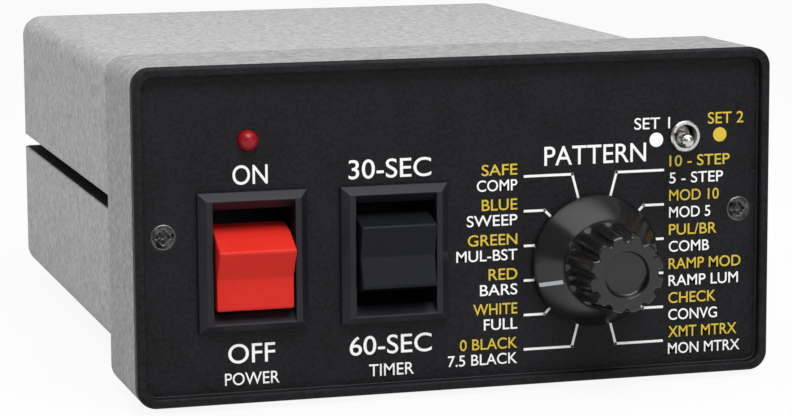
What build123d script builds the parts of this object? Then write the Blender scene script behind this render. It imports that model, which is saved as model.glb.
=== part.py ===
from build123d import *
import math
import os

# Compact bench signal generator: a two-half grey case held at the front by a sleeve-like
# collar, a black control panel, and the electronics behind it. Millimetres, +Z up, front
# towards -Y. The origin is the middle of the footprint on the surface the feet stand on.

# ---- overall sizes ----
panel_width = 130.5
panel_height = 66.0
case_length = 164.0
front_reach = 17.0
rear_reach = 11.0
foot_height = 3.5
foot_radius = 6.0

# ---- case halves ----
collar_side = 4.6
collar_top = 3.0
collar_drop = 2.3
wall = 3.0
case_corner = 4.5
case_rear_round = 2.2
groove_height = 3.2
groove_depth = 3.9
seam_drop = 0.1
sleeve_gap = 0.2
screw_slack = 0.15
rail_wall = 2.8
rail_margin = 3.0
case_screw_edge = 10.5
case_screw_front = 37.0
case_screw_rear_inset = 14.0
boss_radius = 4.0
case_screw_radius = 1.5
case_screw_head = 2.75
case_screw_sink = 4.0
case_screw_bite = 9.0
foot_inset = 14.0
foot_front = 43.0

# ---- collar ----
collar_depth = 27.5
collar_corner = 3.8
collar_front_round = 0.8
collar_fit = 0.15
seat_thickness = 2.0
seat_width = 7.0
lug_depth = 10.0
lug_height = 8.0
lug_inset = 3.2

# ---- front panel ----
rim_height = 2.0
rim_width = 1.9
rim_round = 0.7
rim_band = 2.4
plate_thickness = 2.4
spigot_inset = 2.0
fit_gap = 0.1

# ---- panel screws ----
screw_edge = 5.9
screw_lift = 0.3
screw_radius = 1.25
screw_head = 2.45
screw_length = 12.0
recess_span = 2.9
recess_width = 0.7
recess_depth = 0.9

# ---- rocker switches ----
power_x = -41.9
timer_x = -13.4
rocker_z = 27.8
flange_lap_x = 1.05
flange_lap_z = 1.15
flange_proud = 2.3
flange_chamfer = 1.5
switch_wall_x = 1.6
switch_wall_z = 2.3
switch_depth = 22.0
switch_floor = 4.0
rocker_side_gap = 0.6
well_half = 10.2
well_bevel = 1.3
rocker_width = 15.2
rocker_pivot = 11.2
rocker_valley = 12.45
rocker_ridge = 14.0
rocker_half = 6.1
rocker_end_back = 8.0
rocker_end_half = 7.8
rocker_tail = 2.6
rocker_tail_half = 3.2
rocker_round = 0.6
rocker_tilt = 14.0
pivot_radius = 1.5
running_gap = 0.05
blade_width = 4.8
blade_thickness = 0.8
blade_length = 12.0
blade_pitch = 7.0

# ---- rotary selector ----
knob_x = 28.35
knob_z = 24.3
skirt_radius = 13.3
skirt_gap = 0.5
skirt_edge = 0.9
skirt_rise = 6.0
grip_base_radius = 8.5
grip_tip_radius = 7.6
flute_count = 12
flute_radius = 1.2
dish_radius = 4.6
dish_depth = 1.4
nut_pocket_clear = 0.6
shaft_radius = 3.175
shaft_reach = 13.0
selector_bush_wall = 1.585
selector_radius = 14.0
selector_depth = 18.0
selector_shoulder = 1.2
wafer_count = 12
selector_nut_flats = 12.7
selector_nut_height = 2.2
selector_bush_lead = 0.6
washer_thickness = 0.6
washer_radius = 7.4
set_screw_radius = 1.5
knob_rest_turn = 15  # degrees by which the set screw, opposite the pointer, stands above level

# ---- toggle switch ----
toggle_x = 47.5
toggle_z = 48.5
toggle_lean = 13.0
toggle_swing = 26.0
toggle_bush_wall = 0.775
toggle_bore_radius = 2.4
toggle_bush_front = 1.0
toggle_bush_back = 8.6
toggle_pivot = 5.0
toggle_reach = 12.4
lever_root_radius = 1.0
lever_tip_radius = 1.45
toggle_body_width = 13.0
toggle_body_height = 8.0
toggle_body_depth = 10.0
toggle_nut_flats = 8.0
toggle_nut_height = 2.0

# ---- indicator ----
led_x = -42.5
led_z = 51.3
led_radius = 2.05
led_flange = 2.8
led_holder_radius = 3.7
led_holder_depth = 3.0

# ---- rear panel and connectors ----
rear_plate_thickness = 2.0
rear_inset = 4.0
rear_gap = 0.2
slot_rib = 1.6
slot_rib_height = 2.2
video_x = (-28.0, 2.0)
rear_z = 33.0
barrel_radius = 4.8
barrel_bore = 4.05
barrel_flange = 7.2
bayonet_radius = 1.0
bayonet_reach = 1.0
connector_nut_flats = 14.0
power_jack_x = 34.0
jack_flange = 6.0
jack_bore = 2.9
jack_pin = 1.0
jack_depth = 13.0

# ---- circuit board ----
board_boss_gap = 2.0
board_front = 46.0
board_thickness = 1.6
board_lift = 8.0
board_screw_inset = 6.0
standoff_radius = 3.0

# ---- places worked out from the sizes above ----
case_width = panel_width - 2 * collar_side
case_height = panel_height - collar_drop - collar_top
case_screw_x = case_width / 2 - case_screw_edge
case_screw_rear = case_length - case_screw_rear_inset
foot_x = case_screw_x - foot_inset
foot_rear = case_screw_rear
seam_height = panel_height / 2 - seam_drop
screw_x = panel_width / 2 - screw_edge
screw_z = seam_height + screw_lift
well_width = rocker_width + 2 * rocker_side_gap
switch_width = well_width + 2 * switch_wall_x
switch_height = 2 * (well_half + switch_wall_z)
flange_width = switch_width + 2 * flange_lap_x
flange_height = switch_height + 2 * flange_lap_z
selector_bush_radius = shaft_radius + selector_bush_wall
selector_bush_front = rim_height - washer_thickness - selector_nut_height - selector_bush_lead
knob_grip = rim_height - skirt_gap - skirt_edge - skirt_rise
toggle_bush_radius = toggle_bore_radius + toggle_bush_wall
board_half_width = case_screw_x - boss_radius - board_boss_gap
board_rear = case_screw_rear - boss_radius
board_screw_x = board_half_width - board_screw_inset
board_screw_front = board_front + board_screw_inset
board_screw_rear = board_rear - board_screw_inset
rim_y = -(case_length + front_reach + rear_reach) / 2 + front_reach
case_bottom = foot_height
case_top = case_bottom + case_height
rim_bottom = case_bottom - collar_drop
rim_top = rim_bottom + panel_height
seam_z = rim_bottom + seam_height
panel_back = rim_height + plate_thickness
case_start = panel_back + seat_thickness + sleeve_gap
floor_z = case_bottom + wall


def at(depth):
    return rim_y + depth


def up(height):
    return rim_bottom + height


def block(x0, x1, y0, y1, z0, z1):
    middle = Pos((x0 + x1) / 2, (y0 + y1) / 2, (z0 + z1) / 2)
    return middle * Box(x1 - x0, y1 - y0, z1 - z0)


def rounded_block(half_width, y0, y1, z0, z1, radius):
    body = block(-half_width, half_width, y0, y1, z0, z1)
    return fillet(body.edges().filter_by(Axis.Y), radius)


def rod(x, y0, y1, z, radius):
    return Pos(x, (y0 + y1) / 2, z) * Rot(90, 0, 0) * Cylinder(radius, y1 - y0)


def post(x, y, z0, z1, radius):
    return Pos(x, y, (z0 + z1) / 2) * Cylinder(radius, z1 - z0)


def cone_along_y(x, y0, y1, z, radius0, radius1):
    base = Plane(origin=(x, y0, z), x_dir=(1, 0, 0), z_dir=(0, 1, 0))
    return base * Cone(radius0, radius1, y1 - y0, align=(Align.CENTER, Align.CENTER, Align.MIN))


def hex_nut(x, y0, y1, z, flats, bore):
    base = Plane(origin=(x, y0, z), x_dir=(1, 0, 0), z_dir=(0, 1, 0))
    nut = extrude(base * RegularPolygon(flats / 2, 6, major_radius=False), y1 - y0)
    return nut - rod(x, y0 - 1, y1 + 1, z, bore)


def save(name, solids):
    shape = solids if isinstance(solids, (Part, Solid)) else Compound(children=list(solids))
    export_step(shape, f"parts/{name}.step")


def single(shape):
    return shape.solids()[0]


# ---- case ----
def case_shell():
    half = case_width / 2
    y0, y1 = at(case_start), at(case_length)
    outer = rounded_block(half, y0, y1, case_bottom, case_top, case_corner)
    outer = fillet(outer.faces().sort_by(Axis.Y)[-1].edges(), case_rear_round)
    inner = rounded_block(half - wall, y0 - 1, y1 + 1, floor_z, case_top - wall, case_corner - wall)
    shell = outer - inner
    rail_half = groove_height / 2 + rail_margin
    for side in (-1, 1):
        x_out = side * (half - wall / 2)
        x_in = side * (half - groove_depth - rail_wall)
        x0, x1 = min(x_in, x_out), max(x_in, x_out)
        shell += block(x0, x1, y0, y1, seam_z - rail_half, seam_z + rail_half)
    for depth in (rear_plate_front() - slot_rib - rear_gap, rear_plate_front() + rear_plate_thickness + rear_gap):
        for z0, z1 in ((floor_z - 0.5, floor_z + slot_rib_height),
                       (case_top - wall - slot_rib_height, case_top - wall + 0.5)):
            shell += block(-half + wall + 6, half - wall - 6, at(depth), at(depth + slot_rib), z0, z1)
    for side in (-1, 1):
        x_in = side * (half - groove_depth)
        x_out = side * (half + 5)
        x0, x1 = min(x_in, x_out), max(x_in, x_out)
        z0, z1 = seam_z - groove_height / 2, seam_z + groove_height / 2
        shell -= block(x0, x1, y0 - 1, y1 + 1, z0, z1)
        x0, x1 = sorted((side * (screw_x - lug_inset - 1.8), x_out))
        clear = lug_height / 2 + 0.3
        shell -= block(x0, x1, y0 - 1, y0 + lug_depth + 0.5, up(screw_z) - clear, up(screw_z) + clear)
        x0, x1 = sorted((side * (half - groove_depth - rail_wall - 1), side * (half - wall)))
        keep = groove_height / 2 + 1.0
        clearing = block(x0, x1, rear_clear_start(), y1 + 1, seam_z - rail_half - 1, seam_z + rail_half + 1)
        clearing -= block(x0, x1, rear_clear_start() - 1, y1 + 2, seam_z - keep, seam_z + keep)
        shell -= clearing
    return shell


def rear_plate_front():
    return case_length - rear_inset - rear_plate_thickness


def rear_clear_start():
    return at(rear_plate_front() - slot_rib - rear_gap)


def case_screw_places():
    return [(x, at(depth)) for x in (-case_screw_x, case_screw_x) for depth in (case_screw_front, case_screw_rear)]


def board_screw_places():
    return [(x, at(depth)) for x in (-board_screw_x, board_screw_x) for depth in (board_screw_front, board_screw_rear)]


def bottom_case(shell):
    half = case_width / 2 + 2
    body = shell & block(-half, half, at(0), at(case_length + 2), case_bottom - 2, seam_z)
    for x, y in case_screw_places():
        body += post(x, y, floor_z - 0.5, seam_z, boss_radius)
    for x, y in board_screw_places():
        body += post(x, y, floor_z - 0.5, floor_z + board_lift, standoff_radius)
    for x, y in case_screw_places():
        body -= post(x, y, case_bottom - 1, seam_z + 1, case_screw_radius + screw_slack)
        body -= post(x, y, case_bottom - 1, case_bottom + case_screw_sink, case_screw_head + 0.25)
    for x, y in board_screw_places():
        body -= post(x, y, floor_z + 1, floor_z + board_lift + 1, case_screw_radius - 0.25 + running_gap)
    return single(body)


def top_cover(shell):
    half = case_width / 2 + 2
    body = shell & block(-half, half, at(0), at(case_length + 2), seam_z, case_top + 2)
    for x, y in case_screw_places():
        body += post(x, y, seam_z, case_top - wall + 0.5, boss_radius)
    for x, y in case_screw_places():
        body -= post(x, y, seam_z - 1, seam_z + case_screw_bite + 1, case_screw_radius + running_gap)
    return single(body)


def case_screws():
    screws = []
    for x, y in case_screw_places():
        head_top = case_bottom + case_screw_sink
        screw = post(x, y, head_top - 2.4, head_top, case_screw_head)
        screw += post(x, y, head_top - 0.1, seam_z + case_screw_bite, case_screw_radius)
        low = head_top - 2.4
        screw -= block(x - 1.5, x + 1.5, y - 0.35, y + 0.35, low - 1, low + 1.2)
        screw -= block(x - 0.35, x + 0.35, y - 1.5, y + 1.5, low - 1, low + 1.2)
        screws.append(single(screw))
    return screws


def rubber_feet():
    feet = []
    for x in (-foot_x, foot_x):
        for depth in (foot_front, foot_rear):
            foot = Pos(x, at(depth), 0) * Cone(foot_radius * 0.8, foot_radius, foot_height,
                                               align=(Align.CENTER, Align.CENTER, Align.MIN))
            foot = fillet(foot.edges().group_by(Axis.Z)[0], 0.6)
            feet.append(single(foot))
    return feet


def front_collar():
    half = panel_width / 2
    collar = rounded_block(half, at(rim_band), at(collar_depth), rim_bottom, rim_top, collar_corner)
    collar = fillet(collar.faces().sort_by(Axis.Y)[0].edges(), collar_front_round)
    gap = collar_fit
    sleeve = rounded_block(case_width / 2 + gap, at(panel_back + seat_thickness), at(collar_depth + 1),
                           case_bottom - gap, case_top + gap, case_corner)
    rebate = spigot(fit_gap, at(rim_band - 1), at(panel_back))
    window = rounded_block(case_width / 2 - seat_width, at(0), at(collar_depth),
                           case_bottom + seat_width * 0.6, case_top - seat_width * 0.6, 3.0)
    collar = collar - sleeve - rebate - window
    for side in (-1, 1):
        x0, x1 = sorted((side * (screw_x - lug_inset), side * (half - 1.5)))
        collar += block(x0, x1, at(panel_back), at(case_start + lug_depth),
                        up(screw_z) - lug_height / 2, up(screw_z) + lug_height / 2)
    for side in (-1, 1):
        collar -= rod(side * screw_x, at(0), at(rim_height + screw_length + 1), up(screw_z),
                      screw_radius + running_gap)
    return single(collar)


# ---- front panel ----
def spigot(gap, y0, y1):
    half = panel_width / 2 - spigot_inset + gap
    return rounded_block(half, y0, y1, rim_bottom + spigot_inset - gap, rim_top - spigot_inset + gap,
                         collar_corner - spigot_inset + 1.0)


def front_panel():
    half = panel_width / 2
    frame = rounded_block(half, at(0), at(rim_band), rim_bottom, rim_top, collar_corner)
    frame = fillet(frame.faces().sort_by(Axis.Y)[0].edges(), rim_round)
    panel = frame + spigot(0, at(rim_band - 0.2), at(panel_back))
    well = rounded_block(half - rim_width, at(-1), at(rim_height), rim_bottom + rim_width, rim_top - rim_width,
                         collar_corner - rim_width + 0.4)
    panel -= well
    inner_edge = panel.edges().filter_by(lambda e: abs(e.center().Y - at(0)) < 0.01)
    panel = fillet(inner_edge, 0.5)
    for x in (power_x, timer_x):
        panel -= block(x - switch_width / 2 - fit_gap, x + switch_width / 2 + fit_gap, at(0), at(panel_back + 1),
                       up(rocker_z) - switch_height / 2 - fit_gap, up(rocker_z) + switch_height / 2 + fit_gap)
    panel -= rod(knob_x, at(0), at(panel_back + 1), up(knob_z), selector_bush_radius + fit_gap)
    panel -= rod(toggle_x, at(0), at(panel_back + 1), up(toggle_z), toggle_bush_radius + fit_gap)
    panel -= rod(led_x, at(0), at(panel_back + 1), up(led_z), led_radius + fit_gap)
    for side in (-1, 1):
        panel -= rod(side * screw_x, at(0), at(panel_back + 1), up(screw_z), screw_radius + screw_slack)
        panel -= cone_along_y(side * screw_x, at(rim_height - 0.2), at(rim_height + screw_head - screw_radius),
                              up(screw_z), screw_head + fit_gap + 0.2, screw_radius + fit_gap)
    return single(panel)


def panel_screws():
    screws = []
    for side in (-1, 1):
        x, z = side * screw_x, up(screw_z)
        head = cone_along_y(x, at(rim_height), at(rim_height + screw_head - screw_radius), z, screw_head, screw_radius)
        screw = head + rod(x, at(rim_height + 0.3), at(rim_height + screw_length), z, screw_radius)
        y0, y1 = at(rim_height - 1), at(rim_height + recess_depth)
        for span, width in ((recess_span, recess_width), (recess_width, recess_span)):
            screw -= block(x - span / 2, x + span / 2, y0, y1, z - width / 2, z + width / 2)
        screw -= cone_along_y(x, y0, y1 + 0.3, z, 2.2, 0.2)
        screws.append(single(screw))
    return screws


# ---- rocker switches ----
def switch_body(x):
    z = up(rocker_z)
    front = at(rim_height - flange_proud)
    flange = block(x - flange_width / 2, x + flange_width / 2, front, at(rim_height),
                   z - flange_height / 2, z + flange_height / 2)
    flange = chamfer(flange.faces().sort_by(Axis.Y)[0].edges(), flange_chamfer)
    housing = block(x - switch_width / 2, x + switch_width / 2, at(rim_height - 0.2),
                    at(rim_height + switch_depth), z - switch_height / 2, z + switch_height / 2)
    body = flange + housing
    half = well_width / 2
    back = at(rim_height + switch_depth - switch_floor)
    body -= block(x - half, x + half, front - 1, back, z - well_half, z + well_half)
    mouth = [(front - 1, z - well_half - 2 * well_bevel), (front - 1, z + well_half + 2 * well_bevel),
             (front + 2 * well_bevel, z + well_half - 0.3), (front + 2 * well_bevel, z - well_half + 0.3)]
    funnel = make_face(Polyline([(x, y, height) for y, height in mouth], close=True))
    body -= extrude(funnel, half, dir=(1, 0, 0), both=True)
    body -= Pos(x, at(rocker_pivot), z) * Rot(0, 90, 0) * Cylinder(pivot_radius + running_gap, switch_width + 2)
    for height in blade_heights(x):
        body -= block(x - blade_width / 2, x + blade_width / 2, back - 1, back + switch_floor + 1,
                      z + height - blade_thickness / 2, z + height + blade_thickness / 2)
    return single(body)


def blade_heights(x):
    return (-blade_pitch, 0.0) if x == power_x else (-blade_pitch, 0.0, blade_pitch)


def switch_blades(x):
    back = at(rim_height + switch_depth)
    z = up(rocker_z)
    blades = []
    for height in blade_heights(x):
        blade = block(x - blade_width / 2, x + blade_width / 2, back - switch_floor - 1.5, back + blade_length - 3,
                      z + height - blade_thickness / 2, z + height + blade_thickness / 2)
        blade -= post(x, back + blade_length - 5.5, z + height - 2, z + height + 2, 0.8)
        blades.append(single(blade))
    return blades


def rocker(x, tilt):
    y, z = at(rocker_pivot), up(rocker_z)
    upper = [(rocker_ridge, rocker_half), (rocker_end_back, rocker_end_half), (3.0, rocker_end_half),
             (-rocker_tail, rocker_tail_half)]
    lower = [(forward, -height) for forward, height in reversed(upper)]
    outline = [(rocker_valley, 0.0)] + upper + lower
    face = make_face(Polyline([(0, -forward, height) for forward, height in outline], close=True))
    face = fillet(face.vertices(), rocker_round)
    body = extrude(face, rocker_width / 2, dir=(1, 0, 0), both=True)
    ends = body.edges().filter_by(lambda e: abs(abs(e.center().X) - rocker_width / 2) < 0.01)
    body = fillet(ends, 0.35)
    body -= Rot(0, 90, 0) * Cylinder(pivot_radius + running_gap, rocker_width + 2)
    return single(Pos(x, y, z) * Rot(tilt, 0, 0) * body)


def pivot_pins():
    pins = []
    for x in (power_x, timer_x):
        pin = Pos(x, at(rocker_pivot), up(rocker_z)) * Rot(0, 90, 0) * Cylinder(pivot_radius, switch_width)
        pins.append(single(pin))
    return pins


# ---- rotary selector ----
def selector_knob():
    base = rim_height - skirt_gap
    edge = base - skirt_edge
    grip = knob_grip
    tip = -front_reach
    outline = [(0, base), (skirt_radius, base), (skirt_radius, edge), (grip_base_radius, grip),
               (grip_tip_radius, tip), (0, tip)]
    face = make_face(Polyline([(radius, depth, 0) for radius, depth in outline], close=True))
    body = revolve(face, Axis.Y)
    lean = math.degrees(math.atan2(grip_base_radius - grip_tip_radius, grip - tip))
    length = grip - tip + 2
    middle = (grip_base_radius + grip_tip_radius) / 2 + flute_radius * 0.35
    for index in range(flute_count):
        flute = Pos(middle, (grip + tip) / 2 - 1.4, 0) * Rot(90, 0, 0) * Rot(0, -lean, 0) * Cylinder(flute_radius, length)
        body -= Rot(0, (index + 0.5) * 360 / flute_count, 0) * flute
    body -= rod(0, tip - 1, tip + dish_depth, 0, dish_radius)
    pocket_radius = selector_nut_flats / math.sqrt(3) + nut_pocket_clear
    body -= rod(0, selector_bush_front - nut_pocket_clear, base + 1, 0, pocket_radius)
    body -= rod(0, -shaft_reach - 0.2, base + 1, 0, shaft_radius + running_gap)
    body -= Pos(6, grip - 4.0, 0) * Rot(0, 90, 0) * Cylinder(set_screw_radius + running_gap, 8)
    return single(Pos(knob_x, rim_y, up(knob_z)) * Rot(0, -knob_rest_turn, 0) * body)


def knob_set_screw():
    depth = knob_grip - 4.0
    reach = grip_base_radius - 1.6
    length = reach - shaft_radius - running_gap
    screw = Pos(reach - length / 2, depth, 0) * Rot(0, 90, 0) * Cylinder(set_screw_radius, length)
    screw -= Pos(reach, depth, 0) * Box(1.4, 2.4, 0.5)
    return single(Pos(knob_x, rim_y, up(knob_z)) * Rot(0, -knob_rest_turn, 0) * screw)


def selector_shaft():
    shaft = rod(knob_x, at(-shaft_reach), at(panel_back + selector_shoulder + 6), up(knob_z), shaft_radius)
    return single(shaft)


def selector_bushing():
    front = at(selector_bush_front)
    bushing = rod(knob_x, front, at(panel_back), up(knob_z), selector_bush_radius)
    bushing += rod(knob_x, at(panel_back), at(panel_back + selector_shoulder), up(knob_z), 7.5)
    bushing -= rod(knob_x, front - 1, at(panel_back + 3), up(knob_z), shaft_radius + running_gap)
    return single(bushing)


def selector_body():
    y0 = at(panel_back + selector_shoulder)
    y1 = y0 + selector_depth
    body = rod(knob_x, y0, y1, up(knob_z), selector_radius)
    body -= rod(knob_x, y0 - 1, y0 + 6.3, up(knob_z), shaft_radius + 0.4)
    for level in (0.35, 0.7):
        y = y0 + selector_depth * level
        ring = rod(knob_x, y - 0.6, y + 0.6, up(knob_z), selector_radius + 1)
        body -= ring - rod(knob_x, y - 1, y + 1, up(knob_z), selector_radius - 1.0)
    return single(body)


def selector_tags():
    tags = []
    y = at(panel_back + selector_shoulder + selector_depth)
    for index in range(wafer_count):
        turn = math.radians(index * 30 + 15)
        x = knob_x + (selector_radius - 2.5) * math.sin(turn)
        z = up(knob_z) + (selector_radius - 2.5) * math.cos(turn)
        tags.append(single(block(x - 0.8, x + 0.8, y, y + 4.0, z - 0.3, z + 0.3)))
    return tags


def selector_nut():
    y1 = at(rim_height - washer_thickness)
    return single(hex_nut(knob_x, y1 - selector_nut_height, y1, up(knob_z), selector_nut_flats,
                          selector_bush_radius + running_gap))


def selector_washer():
    washer = rod(knob_x, at(rim_height - washer_thickness), at(rim_height), up(knob_z), washer_radius)
    return single(washer - rod(knob_x, at(0), at(4), up(knob_z), selector_bush_radius + running_gap))


# ---- toggle switch ----
def toggle_bushing():
    bushing = rod(toggle_x, at(toggle_bush_front), at(toggle_bush_back), up(toggle_z), toggle_bush_radius)
    bushing = chamfer(bushing.edges().group_by(Axis.Y)[0], 0.25)
    bushing -= rod(toggle_x, at(-1), at(toggle_bush_back + 1), up(toggle_z), toggle_bore_radius)
    return single(bushing)


def toggle_body():
    y0 = at(toggle_bush_back)
    body = block(toggle_x - toggle_body_width / 2, toggle_x + toggle_body_width / 2, y0, y0 + toggle_body_depth,
                 up(toggle_z) - toggle_body_height / 2, up(toggle_z) + toggle_body_height / 2)
    body -= rod(toggle_x, y0 - 1, y0 + 3, up(toggle_z), toggle_bore_radius + 0.3)
    for index in (-1, 0, 1):
        x = toggle_x + index * 4.2
        body += block(x - 0.4, x + 0.4, y0 + toggle_body_depth - 0.1, y0 + toggle_body_depth + 4.0,
                      up(toggle_z) - 1.0, up(toggle_z) + 1.0)
    return single(body)


def toggle_nut():
    y0 = at(panel_back)
    return single(hex_nut(toggle_x, y0, y0 + toggle_nut_height, up(toggle_z), toggle_nut_flats,
                          toggle_bush_radius + running_gap))


def toggle_lever():
    ball = Sphere(toggle_bore_radius - running_gap)
    tip_centre = toggle_reach - lever_tip_radius
    arm = cone_along_y(0, -tip_centre, 0, 0, lever_tip_radius, lever_root_radius)
    lever = ball + arm + Pos(0, -tip_centre, 0) * Sphere(lever_tip_radius) + rod(0, 0, 4.2, 0, 0.9)
    lever = Pos(toggle_x, at(toggle_pivot), up(toggle_z)) * Rot(0, 0, -toggle_lean) * lever
    return single(lever)


# ---- indicator ----
def led_lamp():
    z = up(led_z)
    shoulder = at(rim_height - 0.1)
    lamp = rod(led_x, shoulder, at(panel_back + led_holder_depth + 1.0), z, led_radius)
    lamp += Pos(led_x, shoulder, z) * Sphere(led_radius)
    lamp += rod(led_x, at(panel_back + led_holder_depth), at(panel_back + led_holder_depth + 1.0), z, led_flange)
    for side in (-1, 1):
        lamp += rod(led_x + side * 1.27, at(panel_back + led_holder_depth + 0.5),
                    at(panel_back + led_holder_depth + 9), z, 0.3)
    return single(lamp)


def led_holder():
    holder = rod(led_x, at(panel_back), at(panel_back + led_holder_depth), up(led_z), led_holder_radius)
    return single(holder - rod(led_x, at(0), at(panel_back + led_holder_depth + 1), up(led_z), led_radius + running_gap))


# ---- rear panel and connectors ----
def rear_panel():
    half = case_width / 2 - wall - rear_gap
    y0 = at(rear_plate_front())
    plate = block(-half, half, y0, y0 + rear_plate_thickness, floor_z + rear_gap, case_top - wall - rear_gap)
    plate = fillet(plate.edges().filter_by(Axis.Y), case_corner - wall)
    for x in video_x:
        plate -= rod(x, y0 - 1, y0 + 4, up(rear_z), barrel_radius + fit_gap)
    plate -= rod(power_jack_x, y0 - 1, y0 + 4, up(rear_z), jack_bore + 1.3 + fit_gap)
    rail_half = groove_height / 2 + 1.4
    for side in (-1, 1):
        x0, x1 = sorted((side * (case_width / 2 - groove_depth - rail_wall - 0.3), side * (half + 2)))
        plate -= block(x0, x1, y0 - 1, y0 + 4, seam_z - rail_half, seam_z + rail_half)
    return single(plate)


def video_barrels():
    barrels = []
    back = at(rear_plate_front() + rear_plate_thickness)
    for x in video_x:
        z = up(rear_z)
        barrel = rod(x, back - 10, at(case_length + rear_reach), z, barrel_radius)
        barrel += rod(x, back, back + 2.2, z, barrel_flange)
        for side in (-1, 1):
            lug = Pos(x, at(case_length + rear_reach - 3.5), z + side * barrel_radius)
            barrel += lug * Cylinder(bayonet_radius, 2 * bayonet_reach)
        barrel -= rod(x, back + 3.5, at(case_length + rear_reach + 1), z, barrel_bore)
        barrel -= rod(x, back - 11, back + 5, z, 1.0)
        barrels.append(single(barrel))
    return barrels


def video_nuts():
    y1 = at(rear_plate_front())
    return [single(hex_nut(x, y1 - 2.4, y1, up(rear_z), connector_nut_flats, barrel_radius + running_gap))
            for x in video_x]


def video_insulators():
    rings = []
    back = at(rear_plate_front() + rear_plate_thickness)
    for x in video_x:
        ring = rod(x, back + 3.5, back + 8.5, up(rear_z), barrel_bore - 0.02)
        rings.append(single(ring - rod(x, back, back + 12, up(rear_z), 1.0)))
    return rings


def video_contacts():
    pins = []
    back = at(rear_plate_front() + rear_plate_thickness)
    for x in video_x:
        pin = rod(x, back - 12, back + 11, up(rear_z), 0.98)
        pin -= rod(x, back + 6, back + 12, up(rear_z), 0.6)
        pins.append(single(pin))
    return pins


def power_jack():
    y0 = at(rear_plate_front() + rear_plate_thickness)
    z = up(rear_z)
    jack = rod(power_jack_x, y0 - jack_depth, y0, z, jack_bore + 1.3)
    jack += rod(power_jack_x, y0, y0 + 1.6, z, jack_flange)
    jack -= rod(power_jack_x, y0 - jack_depth + 2, y0 + 3, z, jack_bore)
    return single(jack)


def power_jack_nut():
    y1 = at(rear_plate_front())
    return single(hex_nut(power_jack_x, y1 - 2.0, y1, up(rear_z), 11.0, jack_bore + 1.3 + running_gap))


def power_jack_pin():
    y0 = at(rear_plate_front() + rear_plate_thickness - jack_depth + 2)
    return single(rod(power_jack_x, y0, y0 + 9.5, up(rear_z), jack_pin))


# ---- circuit board ----
board_z = floor_z + board_lift
board_top = board_z + board_thickness


def circuit_board():
    board = block(-board_half_width, board_half_width, at(board_front), at(board_rear), board_z, board_top)
    for x, y in board_screw_places():
        board -= post(x, y, board_z - 1, board_top + 1, case_screw_radius + 0.1)
    return single(board)


def board_screws():
    screws = []
    for x, y in board_screw_places():
        screw = post(x, y, board_top, board_top + 1.8, 2.5)
        screw += post(x, y, board_z - 5, board_top + 0.2, case_screw_radius - 0.25)
        screw -= block(x - 1.4, x + 1.4, y - 0.3, y + 0.3, board_top + 0.9, board_top + 3)
        screw -= block(x - 0.3, x + 0.3, y - 1.4, y + 1.4, board_top + 0.9, board_top + 3)
        screws.append(single(screw))
    return screws


def chip(x, y, length, width, height):
    body = block(x - width / 2, x + width / 2, y - length / 2, y + length / 2, board_top + 0.5,
                 board_top + 0.5 + height)
    pins = int(length / 2.54)
    for side in (-1, 1):
        for index in range(pins):
            y_pin = y + (index - (pins - 1) / 2) * 2.54
            x0, x1 = sorted((x + side * (width / 2 - 0.2), x + side * (width / 2 + 0.4)))
            body += block(x0, x1, y_pin - 0.3, y_pin + 0.3, board_top, board_top + 1.6)
    return single(body)


def logic_chips():
    return [chip(x, at(depth), 20.0, 7.0, 3.4) for x in (-28.0, -10.0, 8.0) for depth in (104.0, 128.0)]


def memory_chip():
    return chip(14.0, at(76.0), 36.0, 15.0, 4.0)


def crystal_can():
    can = block(-34.0, -23.0, at(84.0), at(88.6), board_top, board_top + 4.0)
    return single(fillet(can.edges().filter_by(Axis.Z), 2.0))


def smoothing_capacitors():
    cans = []
    for x, depth, radius, height in ((30.0, 122.0, 5.0, 14.0), (30.0, 106.0, 4.0, 11.0), (34.0, 92.0, 4.0, 11.0)):
        can = post(x, at(depth), board_top, board_top + height, radius)
        cans.append(single(fillet(can.edges().group_by(Axis.Z)[-1], 0.6)))
    return cans


def voltage_regulator():
    body = block(-33.0, -23.0, at(64.0), at(68.5), board_top + 4.0, board_top + 13.0)
    body += block(-33.0, -23.0, at(67.2), at(68.5), board_top + 12.9, board_top + 19.0)
    for index in (-1, 0, 1):
        x = -28.0 + index * 2.54
        body += block(x - 0.4, x + 0.4, at(65.8), at(66.4), board_top, board_top + 4.2)
    return single(body)


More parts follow.
